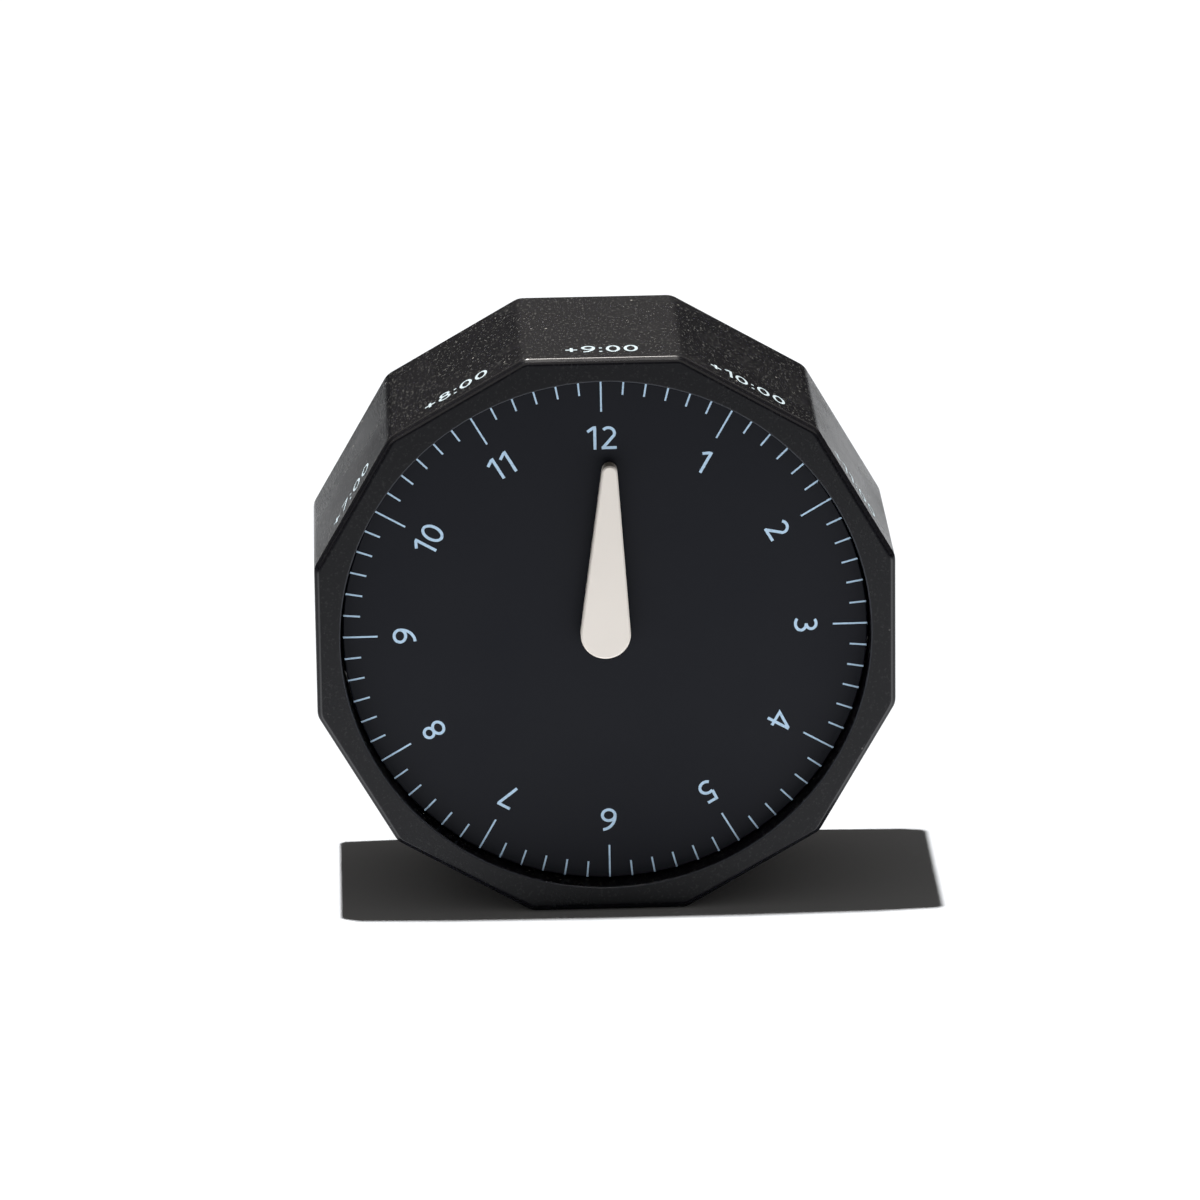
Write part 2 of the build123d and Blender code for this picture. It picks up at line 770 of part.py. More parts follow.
def train_wheel(wheel_teeth, wheel_tooth, pinion_teeth, pinion_tooth, level, pinion_front, place):
    """A wheel and its pinion on one arbor, pivoted in the middle plate and the case."""
    wheel = gear(wheel_teeth, train_module, wheel_tooth, level, level + wheel_thickness, place)
    hub_radius = pivot_radius + wheel_hub_wall
    wheel = spoked(wheel, wheel_teeth, train_module, hub_radius, level, level + wheel_thickness, place)
    pinion = gear(pinion_teeth, train_module, pinion_tooth, pinion_front, level, place)
    arbor = peg(pivot_radius, middle_y + seat_gap, pivot_boss_y + pivot_depth, place)
    return wheel + pinion + arbor


def make_third_wheel():
    return train_wheel(third_wheel_teeth, third_tooth, third_pinion_teeth, third_pinion_tooth,
                       third_wheel_y, centre_wheel_y, third_place)


def make_intermediate_wheel():
    return train_wheel(intermediate_wheel_teeth, intermediate_tooth, intermediate_pinion_teeth,
                       intermediate_pinion_tooth, intermediate_wheel_y, third_wheel_y, intermediate_place)


def make_rotor():
    pinion = gear(rotor_pinion_teeth, train_module, rotor_tooth, intermediate_wheel_y, rotor_y, rotor_place)
    magnet = disc(magnet_radius, rotor_y, rotor_y + magnet_thickness, rotor_place)
    arbor = peg(pivot_radius, middle_y + seat_gap, pivot_boss_y + pivot_depth, rotor_place)
    return pinion + magnet + arbor


# Stator, coil and circuit

coil_height = rotor_place[1] - coil_offset
coil_y = rotor_y + magnet_thickness / 2


def coil_plane(offset):
    """The plane across the coil at an offset from its middle."""
    return Plane(origin=(rotor_place[0] + offset, coil_y, axis_height + coil_height),
                 x_dir=(0, 1, 0), z_dir=(1, 0, 0))


def make_stator():
    front = coil_y - stator_thickness / 2
    back = coil_y + stator_thickness / 2
    half = coil_length / 2 + flange_thickness
    bridge_radius = magnet_radius + stator_gap + stator_bridge
    yoke = Pos(*rotor_place) * Rectangle((half + stator_leg_width) * 2, bridge_radius * 2)
    stator = slab(yoke, front, back)
    for side in (-1, 1):
        leg_place = (rotor_place[0] + side * (half + stator_leg_width / 2), rotor_place[1] - coil_offset / 2)
        leg = Pos(*leg_place) * Rectangle(stator_leg_width, coil_offset + coil_core_width)
        stator += slab(leg, front, back)
    return stator - disc(magnet_radius + stator_gap, front - overrun, back + overrun, rotor_place)


def make_coil_bobbin():
    half = coil_length / 2
    core = extrude(coil_plane(0) * Rectangle(coil_core_height, coil_core_width),
                   amount=half + flange_thickness, both=True)
    for start in (-half - flange_thickness, half):
        flange = coil_plane(start) * Rectangle(flange_radius, flange_radius * 2)
        core += extrude(flange, amount=flange_thickness)
    return core


def make_coil_winding():
    half = coil_length / 2
    outline = chamfer(Rectangle(coil_radius, coil_radius * 2).vertices(), coil_edge_bevel)
    wound = extrude(coil_plane(0) * outline, amount=half, both=True)
    core = coil_plane(0) * Rectangle(coil_core_height, coil_core_width)
    return wound - extrude(core, amount=half, both=True)


def make_circuit_board():
    board = slab(Pos(*board_middle) * Rectangle(board_width, board_height), board_front_y, case_inner_back_y)
    back = case_inner_back_y + overrun
    for place in pillar_places():
        board -= peg(case_pillar_radius + seat_gap, board_front_y - overrun, back, place)
    return board


def make_time_chip():
    return slab(Pos(*board_middle) * Rectangle(chip_size, chip_size), board_front_y - chip_thickness,
                board_front_y)


def make_quartz_crystal():
    plane = Plane(origin=(board_left + crystal_radius * 2, board_front_y - crystal_radius,
                          axis_height + board_bottom + crystal_radius * 2),
                  x_dir=(1, 0, 0), z_dir=(0, 0, 1))
    return extrude(plane * Circle(crystal_radius), amount=crystal_length)


pieces = {
    "front_housing": make_front_housing,
    "dial": make_dial,
    "dial_hub": make_dial_hub,
    "retaining_clip": make_retaining_clip,
    "counterweight": make_counterweight,
    "counterweight_screws": make_counterweight_screws,
    "hour_hand": make_hour_hand,
    "bearing_tube": make_bearing_tube,
    "chassis_plate": make_chassis_plate,
    "chassis_screws": make_chassis_screws,
    "rear_cover": make_rear_cover,
    "battery_door": make_battery_door,
    "cover_screws": make_cover_screws,
    "battery": make_battery,
    "battery_plate": make_battery_plate,
    "battery_spring": make_battery_spring,
    "battery_leads": make_battery_leads,
    "movement_case_front": make_movement_case_front,
    "movement_case_back": make_movement_case_back,
    "middle_plate": make_middle_plate,
    "movement_screws": make_movement_screws,
    "hour_wheel": make_hour_wheel,
    "minute_wheel": make_minute_wheel,
    "cannon_pinion": make_cannon_pinion,
    "setting_knob": make_setting_knob,
    "centre_wheel": make_centre_wheel,
    "third_wheel": make_third_wheel,
    "intermediate_wheel": make_intermediate_wheel,
    "rotor": make_rotor,
    "stator": make_stator,
    "coil_bobbin": make_coil_bobbin,
    "coil_winding": make_coil_winding,
    "circuit_board": make_circuit_board,
    "time_chip": make_time_chip,
    "quartz_crystal": make_quartz_crystal,
}

for name, make in pieces.items():
    piece = make()
    print(name, len(piece.solids()), round(piece.volume, 1))
    export_step(piece, f"parts/{name}.step")
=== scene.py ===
"""A twelve-sided desk clock with one hand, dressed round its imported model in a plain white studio."""

import json
import logging
import math
from dataclasses import dataclass
from enum import Enum

import bmesh
import bpy
from mathutils import Matrix, Vector


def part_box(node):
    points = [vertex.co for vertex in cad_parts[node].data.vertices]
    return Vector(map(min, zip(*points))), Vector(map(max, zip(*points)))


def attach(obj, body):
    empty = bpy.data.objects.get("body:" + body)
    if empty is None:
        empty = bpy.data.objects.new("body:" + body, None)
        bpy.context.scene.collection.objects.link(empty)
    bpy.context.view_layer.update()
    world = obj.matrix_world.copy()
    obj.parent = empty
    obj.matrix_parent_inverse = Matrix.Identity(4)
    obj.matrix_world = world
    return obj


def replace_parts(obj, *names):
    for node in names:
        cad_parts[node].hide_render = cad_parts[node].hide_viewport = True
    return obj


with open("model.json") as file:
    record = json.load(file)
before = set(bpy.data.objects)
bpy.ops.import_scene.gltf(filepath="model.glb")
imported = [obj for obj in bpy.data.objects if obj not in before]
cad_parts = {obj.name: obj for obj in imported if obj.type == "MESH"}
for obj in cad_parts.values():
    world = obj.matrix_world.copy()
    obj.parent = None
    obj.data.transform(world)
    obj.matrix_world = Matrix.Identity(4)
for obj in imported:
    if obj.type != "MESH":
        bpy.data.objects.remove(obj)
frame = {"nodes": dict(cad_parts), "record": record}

log = logging.getLogger("clock")

MM = 0.001
# Hours on the dial, and as many facets round the body
HOURS = 12
HOUR_DEG = 360 / HOURS
# The hour number on the facet that lies on top
TOP_HOUR = 9
# Turns what was made facing up so that it faces the front, and a camera so that it looks back
FACE_FRONT = Matrix.Rotation(math.radians(90), 4, "X")

# Points of the CAD's triangles that lie closer than this are one point
JOIN_GAP = 0.001 * MM
# Triangles that turn from each other by less than this are one flat face
FLAT_DEG = 0.5
# An edge that turns by more than this is rounded, in this many steps
SHARP_DEG = 20
ROUND_STEPS = 4
# An edge that still turns by more than this is shaded crisply
CRISP_DEG = 40
# A rounded face that looks less than this to the front or back takes the finish of its edge
ROUNDED_SHARE = 0.9
# Share of a round piece's half width past which an edge belongs to its outside
RIM_SHARE = 0.945
# A face looks the way of its facet when the cosine between them is more than this
FACET_COSINE = 0.999
# How strongly large faces keep their own shading: all the way
LARGE_FACE_WEIGHT = 100
# Material slots of the edges round an opening, painted lighter as a highlight, and of the outside edges
OPENING_SLOT, OUTSIDE_SLOT = 1, 2

# Space between two figures, as a share of their height
FIGURE_GAP = 0.17
# How far one printed line lies above the one before it
INK_LIFT = 0.006 * MM
# The least cosine that a line's corner is mitred by, so that no corner runs out to a spike
MITRE_COSINE = 0.5

# The faint clouds in moulded plastic are about this large
CLOUD_MM = 30.0
# Nearly all the values of a noise texture lie between these
NOISE_LOW, NOISE_HIGH = 0.3, 0.7
# Sockets of a Mix node that mixes colours: its share, its two colours and its result
MIX_SHARE, MIX_FIRST, MIX_SECOND, MIX_RESULT = 0, 6, 7, 2
# Sockets of a Mix node that mixes numbers: its two numbers and its result
NUMBER_FIRST, NUMBER_SECOND, NUMBER_RESULT = 2, 3, 0


def linear(colour: str) -> tuple[float, float, float, float]:
    """Turn an sRGB hex colour into the linear values that a shader socket takes.

    Args:
        colour: the colour as #rrggbb.

    Returns:
        Red, green, blue and an alpha of one.
    """
    shares = [int(colour[start:start + 2], 16) / 255 for start in (1, 3, 5)]
    channels = [s / 12.92 if s <= 0.04045 else ((s + 0.055) / 1.055) ** 2.4 for s in shares]
    return (*channels, 1.0)


def add_node(tree: bpy.types.NodeTree, kind: str, settings: dict[str | int, object] | None = None,
             links: dict[str | int, bpy.types.NodeSocket] | None = None) -> bpy.types.Node:
    """Add a node, set it up and link its inputs.

    Args:
        tree: the node tree that gets the node.
        kind: the node's type name.
        settings: attributes of the node, or values of its input sockets by name or number.
        links: output sockets by the input that each one feeds.

    Returns:
        The new node.
    """
    node = tree.nodes.new(kind)
    for key, value in (settings or {}).items():
        if isinstance(key, int) or key in node.inputs:
            node.inputs[key].default_value = value
        else:
            setattr(node, key, value)
    for key, source in (links or {}).items():
        tree.links.new(source, node.inputs[key])
    return node


def new_material(name: str) -> tuple[bpy.types.Material, bpy.types.NodeTree, bpy.types.Node]:
    """Make a material with an empty tree and its output node.

    Args:
        name: the material's name.

    Returns:
        The material, its node tree and its output node.
    """
    material = bpy.data.materials.new(name)
    material.use_nodes = True
    tree = material.node_tree
    tree.nodes.clear()
    return material, tree, add_node(tree, "ShaderNodeOutputMaterial")


@dataclass(frozen=True)
class Surface:
    """What every finish has: a name, a main colour and a tree that ends in one shader."""

    name: str
    colour: str

    def make(self) -> bpy.types.Material:
        """Build the material.

        Returns:
            The new material.
        """
        material, tree, output = new_material(self.name)
        shader = self.shade(tree, add_node(tree, "ShaderNodeTexCoord"))
        tree.links.new(shader.outputs["BSDF"], output.inputs["Surface"])
        return material

    def shade(self, tree: bpy.types.NodeTree, coords: bpy.types.Node) -> bpy.types.Node:
        """Add the nodes of this finish.

        Args:
            tree: the material's node tree.
            coords: its Texture Coordinate node.

        Returns:
            The shader node.
        """
        raise NotImplementedError


@dataclass(frozen=True)
class GrainedPlastic(Surface):
    """Moulded ABS with a spark-eroded grain whose lighter peaks are partly real grain, partly painted glints:
    even on the front and back, sparkling on the facets.
    """

    light_colour: str
    roughness: float
    ior: float
    grain_depth_mm: float
    gloss_swing: float = 0.05
    # The real grain is about 0.1 mm. It is drawn coarser, and longer from front to back, so that it shows
    grain_mm: float = 0.5
    grain_stretch: float = 0.45
    # Values of the grain from which it starts to lighten the colour with grain and painted glints, and where it
    # is all light
    light_grain: tuple[float, float] = (0.58, 0.68)
    # Bright specks lie about this far apart. Each is whole up to the first share of that distance and
    # gone at the second
    speck_mm: float = 5.0
    speck_edge: tuple[float, float] = (0.035, 0.055)
    speck_colour: str = "#dcd8d0"
    # Faces that look more to the front or back have less grain, fewer specks and less painted glint, so the
    # facets are painted lighter: from the first it fades, and at the second only the end share is left
    facing: tuple[float, float] = (0.05, 0.6)
    end_share: float = 0.1

    def shade(self, tree: bpy.types.NodeTree, coords: bpy.types.Node) -> bpy.types.Node:
        """Add the grain to the surface and the colour, its lighter peaks partly painted glints, specks to the
        colour and clouds to the gloss.

        Args:
            tree: the material's node tree.
            coords: its Texture Coordinate node.

        Returns:
            The shader node.
        """
        place = coords.outputs["Object"]
        normal = add_node(tree, "ShaderNodeSeparateXYZ", {}, {0: coords.outputs["Normal"]})
        endwise = add_node(tree, "ShaderNodeMath", {"operation": "ABSOLUTE"}, {0: normal.outputs["Y"]})
        strength = add_node(tree, "ShaderNodeMapRange",
                            {"From Min": self.facing[0], "From Max": self.facing[1],
                             "To Min": 1.0, "To Max": self.end_share},
                            {"Value": endwise.outputs["Value"]}).outputs["Result"]
        stretched = add_node(tree, "ShaderNodeMapping", {"Scale": (1, self.grain_stretch, 1)},
                             {"Vector": place})
        grain = add_node(tree, "ShaderNodeTexNoise",
                         {"Scale": 1 / (self.grain_mm * MM), "Detail": 2.0, "Roughness": 0.6},
                         {"Vector": stretched.outputs["Vector"]}).outputs["Fac"]
        tone = add_node(tree, "ShaderNodeMapRange",
                        {"From Min": self.light_grain[0], "From Max": self.light_grain[1]},
                        {"Value": grain})
        # The grain's lighter peaks, mostly on the facets, are partly real grain and partly painted glints
        light = add_node(tree, "ShaderNodeMath", {"operation": "MULTIPLY"},
                         {0: tone.outputs["Result"], 1: strength})
        paint = add_node(tree, "ShaderNodeMix",
                         {"data_type": "RGBA", MIX_FIRST: linear(self.colour),
                          MIX_SECOND: linear(self.light_colour)},
                         {MIX_SHARE: light.outputs["Value"]}).outputs[MIX_RESULT]
        cells = add_node(tree, "ShaderNodeTexVoronoi", {"Scale": 1 / (self.speck_mm * MM)}, {"Vector": place})
        speck = add_node(tree, "ShaderNodeMapRange",
                         {"From Min": self.speck_edge[0], "From Max": self.speck_edge[1], "To Max": 0.0},
                         {"Value": cells.outputs["Distance"], "To Min": strength})
        specked = add_node(tree, "ShaderNodeMix",
                           {"data_type": "RGBA", MIX_SECOND: linear(self.speck_colour)},
                           {MIX_SHARE: speck.outputs["Result"], MIX_FIRST: paint}).outputs[MIX_RESULT]
        cloud = add_node(tree, "ShaderNodeTexNoise",
                         {"Scale": 1 / (CLOUD_MM * MM), "Detail": 3.0, "Roughness": 0.55}, {"Vector": place})
        gloss = add_node(tree, "ShaderNodeMapRange",
                         {"From Min": NOISE_LOW, "From Max": NOISE_HIGH,
                          "To Min": self.roughness - self.gloss_swing,
                          "To Max": self.roughness + self.gloss_swing}, {"Value": cloud.outputs["Fac"]})
        bump = add_node(tree, "ShaderNodeBump", {"Distance": self.grain_depth_mm * MM},
                        {"Height": grain, "Strength": strength})
        return add_node(tree, "ShaderNodeBsdfPrincipled", {"IOR": self.ior},
                        {"Base Color": specked, "Roughness": gloss.outputs["Result"],
                         "Normal": bump.outputs["Normal"]})


@dataclass(frozen=True)
class SatinPlastic(Surface):
    """Smooth moulded plastic with a faint cloudiness and a soft sheen."""

    roughness: float = 0.4
    ior: float = 1.46
    gloss_swing: float = 0.04
    shade_swing: float = 0.03

    def shade(self, tree: bpy.types.NodeTree, coords: bpy.types.Node) -> bpy.types.Node:
        """Let clouds vary the colour and the gloss a little.

        Args:
            tree: the material's node tree.
            coords: its Texture Coordinate node.

        Returns:
            The shader node.
        """
        cloud = add_node(tree, "ShaderNodeTexNoise", {"Scale": 1 / (CLOUD_MM * MM), "Detail": 4.0},
                         {"Vector": coords.outputs["Object"]}).outputs["Fac"]
        value = add_node(tree, "ShaderNodeMapRange",
                         {"From Min": NOISE_LOW, "From Max": NOISE_HIGH,
                          "To Min": 1 - self.shade_swing, "To Max": 1 + self.shade_swing}, {"Value": cloud})
        colour = add_node(tree, "ShaderNodeHueSaturation", {"Color": linear(self.colour)},
                          {"Value": value.outputs["Result"]})
        gloss = add_node(tree, "ShaderNodeMapRange",
                         {"From Min": NOISE_LOW, "From Max": NOISE_HIGH,
                          "To Min": self.roughness - self.gloss_swing,
                          "To Max": self.roughness + self.gloss_swing}, {"Value": cloud})
        return add_node(tree, "ShaderNodeBsdfPrincipled", {"IOR": self.ior},
                        {"Base Color": colour.outputs["Color"], "Roughness": gloss.outputs["Result"]})


@dataclass(frozen=True)
class PrintedInk(Surface):
    """Pad-printed ink: matt and opaque, a touch thinner in places."""

    thin_colour: str
    roughness: float = 0.6
    ior: float = 1.4
    patch_mm: float = 0.6
    # Values of the patches between which the ink thins out
    thinning: tuple[float, float] = (0.5, 0.8)

    def shade(self, tree: bpy.types.NodeTree, coords: bpy.types.Node) -> bpy.types.Node:
        """Thin out the ink in small patches.

        Args:
            tree: the material's node tree.
            coords: its Texture Coordinate node.

        Returns:
            The shader node.
        """
        patch = add_node(tree, "ShaderNodeTexNoise", {"Scale": 1 / (self.patch_mm * MM), "Detail": 3.0},
                         {"Vector": coords.outputs["Object"]})
        thin = add_node(tree, "ShaderNodeMapRange",
                        {"From Min": self.thinning[0], "From Max": self.thinning[1]},
                        {"Value": patch.outputs["Fac"]})
        colour = add_node(tree, "ShaderNodeMix",
                          {"data_type": "RGBA", MIX_FIRST: linear(self.colour),
                           MIX_SECOND: linear(self.thin_colour)}, {MIX_SHARE: thin.outputs["Result"]})
        return add_node(tree, "ShaderNodeBsdfPrincipled", {"Roughness": self.roughness, "IOR": self.ior},
                        {"Base Color": colour.outputs[MIX_RESULT]})


@dataclass(frozen=True)
class WorkedMetal(Surface):
    """Turned, pressed or plated metal with fine tool marks."""

    roughness: float = 0.3
    polish_swing: float = 0.08
    scuff_swing: float = 0.1
    mark_mm: float = 0.4
    mark_depth_mm: float = 0.01
    mark_strength: float = 0.4

    def shade(self, tree: bpy.types.NodeTree, coords: bpy.types.Node) -> bpy.types.Node:
        """Let tool marks vary the gloss and the surface.

        Args:
            tree: the material's node tree.
            coords: its Texture Coordinate node.

        Returns:
            The shader node.
        """
        marks = add_node(tree, "ShaderNodeTexNoise", {"Scale": 1 / (self.mark_mm * MM), "Detail": 3.0},
                         {"Vector": coords.outputs["Object"]}).outputs["Fac"]
        gloss = add_node(tree, "ShaderNodeMapRange",
                         {"From Min": NOISE_LOW, "From Max": NOISE_HIGH,
                          "To Min": self.roughness - self.polish_swing,
                          "To Max": self.roughness + self.scuff_swing}, {"Value": marks})
        bump = add_node(tree, "ShaderNodeBump",
                        {"Strength": self.mark_strength, "Distance": self.mark_depth_mm * MM},
                        {"Height": marks})
        return add_node(tree, "ShaderNodeBsdfPrincipled",
                        {"Base Color": linear(self.colour), "Metallic": 1.0},
                        {"Roughness": gloss.outputs["Result"], "Normal": bump.outputs["Normal"]})


class Finish(Enum):
    """The finishes of the CAD's pieces, each named for its material slot in the record."""

    # ABS from a spark-eroded mould: nearly black, with a grain whose lighter peaks on the facets are partly
    # painted glints
    HOUSING_BLACK = GrainedPlastic("grained_abs_black", "#0a0a10", light_colour="#62625f", roughness=0.28,
                                   ior=1.37, grain_depth_mm=0.09)
    # ABS from a matt mould: a flat blue-black that lets the print stand out
    DIAL_BLACK = SatinPlastic("matt_abs_blue_black", "#0d101b", roughness=0.55, ior=1.34)
    # ABS moulded in cream: warm and even with a soft sheen
    HAND_CREAM = SatinPlastic("satin_abs_cream", "#e8dfd6", roughness=0.45)
    # Acetal left in its own colour: milky white and slightly waxy
    ACETAL_WHITE = SatinPlastic("natural_acetal", "#e6e5de", roughness=0.35)
    # ABS moulded in grey: plain and dull
    CHASSIS_GREY = SatinPlastic("moulded_abs_grey", "#3a3a3c", roughness=0.5)
    # Brass turned on a lathe: yellow, with fine marks in its shine
    BRASS = WorkedMetal("turned_brass", "#caa45a", roughness=0.3)
    # Spring steel as rolled: mid grey and smooth
    SPRING_STEEL = WorkedMetal("spring_steel", "#8d9094", roughness=0.3)
    # Steel with zinc plating: a cool pale grey, slightly cloudy
    ZINC_STEEL = WorkedMetal("zinc_plated_steel", "#b4b7ba", roughness=0.35)
    # Small zinc-plated screws: brighter than the large plated pieces
    SCREW_STEEL = WorkedMetal("zinc_plated_screw", "#bcbcbc", roughness=0.3)
    # Steel blackened in a hot bath: dark grey with a dry sheen
    BLACK_SCREW = WorkedMetal("black_oxide_screw", "#26262a", roughness=0.4)
    # Heat-shrunk sleeve round the cell, left plain: grey and fairly glossy
    BATTERY_SLEEVE = SatinPlastic("shrink_sleeve_grey", "#5a6066", roughness=0.25)
    # Nickel-plated strip: a warm silver, the glossiest piece inside
    NICKEL_PLATE = WorkedMetal("nickel_plate", "#c8c4bb", roughness=0.2)
    # ABS moulded in black without grain: plain satin
    MOVEMENT_BLACK = SatinPlastic("moulded_abs_black", "#161616", roughness=0.4)
    # ABS moulded in black for the knob: a little duller than the movement's case
    KNOB_BLACK = SatinPlastic("moulded_knob_black", "#151516", roughness=0.45)
    # Sintered magnet: dark grey and dull
    MAGNET_GREY = WorkedMetal("sintered_magnet", "#55565a", roughness=0.5)
    # Punched soft-iron sheet: grey with a weak shine
    STATOR_IRON = WorkedMetal("soft_iron_sheet", "#96979a", roughness=0.4)
    # Nylon moulded in green: plain satin
    BOBBIN_GREEN = SatinPlastic("moulded_bobbin_green", "#2c7a52", roughness=0.4)
    # Lacquered copper wire: orange-red, its marks as fine as the wire
    COPPER_WIRE = WorkedMetal("lacquered_copper", "#c0683c", roughness=0.3, mark_mm=0.1)
    # Solder lacquer on glass-fibre board: deep green and glossy
    BOARD_GREEN = SatinPlastic("solder_lacquer_green", "#14543a", roughness=0.3)
    # Moulded epoxy over the chip: black and dull
    CHIP_BLACK = SatinPlastic("moulded_epoxy_black", "#141416", roughness=0.5)


class EdgeFinish(Enum):
    """The finishes of the housing's rounded edges."""

    # A painted highlight on the rounded edge round the opening: a lighter grey without grain, so a thin grey line
    OPENING = SatinPlastic("opening_edge_painted_highlight", "#36383e", roughness=0.5, ior=1.36)
    # Grained ABS rubbed smooth by the hands that roll it: a bright line along the front edges
    OUTSIDE = GrainedPlastic("burnished_abs_edge", "#0a0a10", light_colour="#3a3a3a", roughness=0.16,
                             ior=1.7, grain_depth_mm=0.06)


class Ink(Enum):
    """The inks of the two prints."""

    # Pale blue pad-printing ink: flat against the dark dial, with thinner patches in its lines
    DIAL = PrintedInk("dial_ink_blue", "#b6d0e6", thin_colour="#98b3cc")
    # The same kind of ink in a cool white, for the numbers on the facets
    FACETS = PrintedInk("facet_ink_pale", "#e2f2f8", thin_colour="#c9dde6")


def finish_piece(mesh: bmesh.types.BMesh, name: str, material: bpy.types.Material, body: str) -> bpy.types.Object:
    """Make a finished object from a bmesh and let it ride on a body.

    Args:
        mesh: the shape in metres, in the frame.
        name: the piece's name.
        material: its finish.
        body: the body that it moves with.

    Returns:
        The new object.
    """
    data = bpy.data.meshes.new(name)
    mesh.to_mesh(data)
    mesh.free()
    data.materials.append(material)
    piece = bpy.data.objects.new(name, data)
    bpy.context.scene.collection.objects.link(piece)
    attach(piece, body)
    log.info("%s: %d faces on %s", name, len(data.polygons), body)
    return piece


def about_axis(centre_height: float, degrees: float) -> Matrix:
    """Turn things clockwise, seen from the front, about the clock's axis.

    Args:
        centre_height: the height of the axis.
        degrees: how far they turn.

    Returns:
        The turn.
    """
    axis_point = Vector((0, 0, centre_height))
    turn = Matrix.Rotation(math.radians(degrees), 4, "Y")
    return Matrix.Translation(axis_point) @ turn @ Matrix.Translation(-axis_point)


def arc(middle: tuple[float, float], radii: tuple[float, float], start: float, end: float,
        steps: int = 16) -> list[tuple[float, float]]:
    """Points along part of an ellipse.

    Args:
        middle: the ellipse's middle.
        radii: its half width and half height.
        start: the first angle in degrees, anticlockwise from the right.
        end: the last angle.
        steps: how many parts the arc has.

    Returns:
        The points, from start to end.
    """
    angles = [math.radians(start + (end - start) * step / steps) for step in range(steps + 1)]
    return [(middle[0] + radii[0] * math.cos(a), middle[1] + radii[1] * math.sin(a)) for a in angles]


# Upright sans-serif figures: the width of each and its middle lines, in shares of the figure's height
FIGURES = {
    "0": (0.68, [arc((0.34, 0.5), (0.27, 0.43), 90, 450, 28)]),
    "1": (0.42, [[(0.345, 0.0), (0.345, 1.0)], [(0.035, 0.765), (0.3, 0.945)]]),
    "2": (0.66, [arc((0.31, 0.69), (0.255, 0.24), 142, -22) + [(0.44, 0.48), (0.09, 0.08)],
                 [(0.03, 0.07), (0.65, 0.07)]]),
    "3": (0.62, [arc((0.265, 0.725), (0.235, 0.205), 138, -90),
                 arc((0.265, 0.295), (0.285, 0.225), 90, -138)]),
    "4": (0.70, [[(0.47, 0.96), (0.05, 0.31), (0.7, 0.31)], [(0.5, 0.0), (0.5, 1.0)]]),
    "5": (0.62, [[(0.56, 0.93), (0.15, 0.93), (0.12, 0.54)],
                 arc((0.275, 0.315), (0.285, 0.25), 122, -138)]),
    "6": (0.66, [arc((0.335, 0.305), (0.265, 0.24), 180, 540, 24),
                 arc((0.6, 0.34), (0.53, 0.59), 92, 183)]),
    "7": (0.64, [[(0.03, 0.93), (0.62, 0.93)], [(0.58, 0.93), (0.2, 0.0)]]),
    "8": (0.66, [arc((0.33, 0.735), (0.215, 0.2), 90, 450, 24),
                 arc((0.33, 0.295), (0.265, 0.225), 90, 450, 24)]),
    "9": (0.66, [arc((0.325, 0.695), (0.265, 0.24), 0, 360, 24),
                 arc((0.06, 0.66), (0.53, 0.59), -88, 3)]),
    "+": (0.62, [[(0.02, 0.42), (0.6, 0.42)], [(0.31, 0.13), (0.31, 0.71)]]),
    ":": (0.16, [[(0.08, 0.02), (0.08, 0.16)], [(0.08, 0.56), (0.08, 0.7)]]),
}


def add_stroke(mesh: bmesh.types.BMesh, points: list[Vector], width: float) -> None:
    """Add one flat printed line to a bmesh, mitred at its corners and facing +Z.

    Args:
        mesh: the bmesh that gets the line.
        points: the line's middle points.
        width: the line's width.
    """
    rows = []
    for index, point in enumerate(points):
        before = (point - points[index - 1]).normalized() if index else None
        after = (points[index + 1] - point).normalized() if index < len(points) - 1 else None
        along = ((before or after) + (after or before)).normalized()
        mitre = width / 2 / max(along.dot(before or after), MITRE_COSINE)
        side = Vector((-along.y, along.x, 0)) * mitre
        rows.append((mesh.verts.new(point + side), mesh.verts.new(point - side)))
    for (left, right), (next_left, next_right) in zip(rows, rows[1:]):
        mesh.faces.new((left, right, next_right, next_left))


def add_figures(mesh: bmesh.types.BMesh, text: str, height: float, stroke: float, place: Matrix,
                spread: float = 1.0) -> None:
    """Add a centred row of printed figures to a bmesh, each line a hair above the one before.

    Args:
        mesh: the bmesh that gets the print.
        text: what is printed.
        height: the height of a figure, in metres.
        stroke: the width of the printed lines, in metres.
        place: where the middle of the row goes and how it is turned.
        spread: how much wider the figures are than their plain shape.
    """
    row = bmesh.new()
    widths = [FIGURES[figure][0] * spread for figure in text]
    start = -(sum(widths) + FIGURE_GAP * (len(text) - 1)) / 2
    lift = INK_LIFT
    for figure, width in zip(text, widths):
        for line in FIGURES[figure][1]:
            lift += INK_LIFT
            points = [Vector(((start + x * spread) * height, (y - 0.5) * height, lift)) for x, y in line]
            add_stroke(row, points, stroke)
        start += width + FIGURE_GAP
    row.transform(place)
    data = bpy.data.meshes.new("figures")
    row.to_mesh(data)
    row.free()
    mesh.from_mesh(data)
    bpy.data.meshes.remove(data)


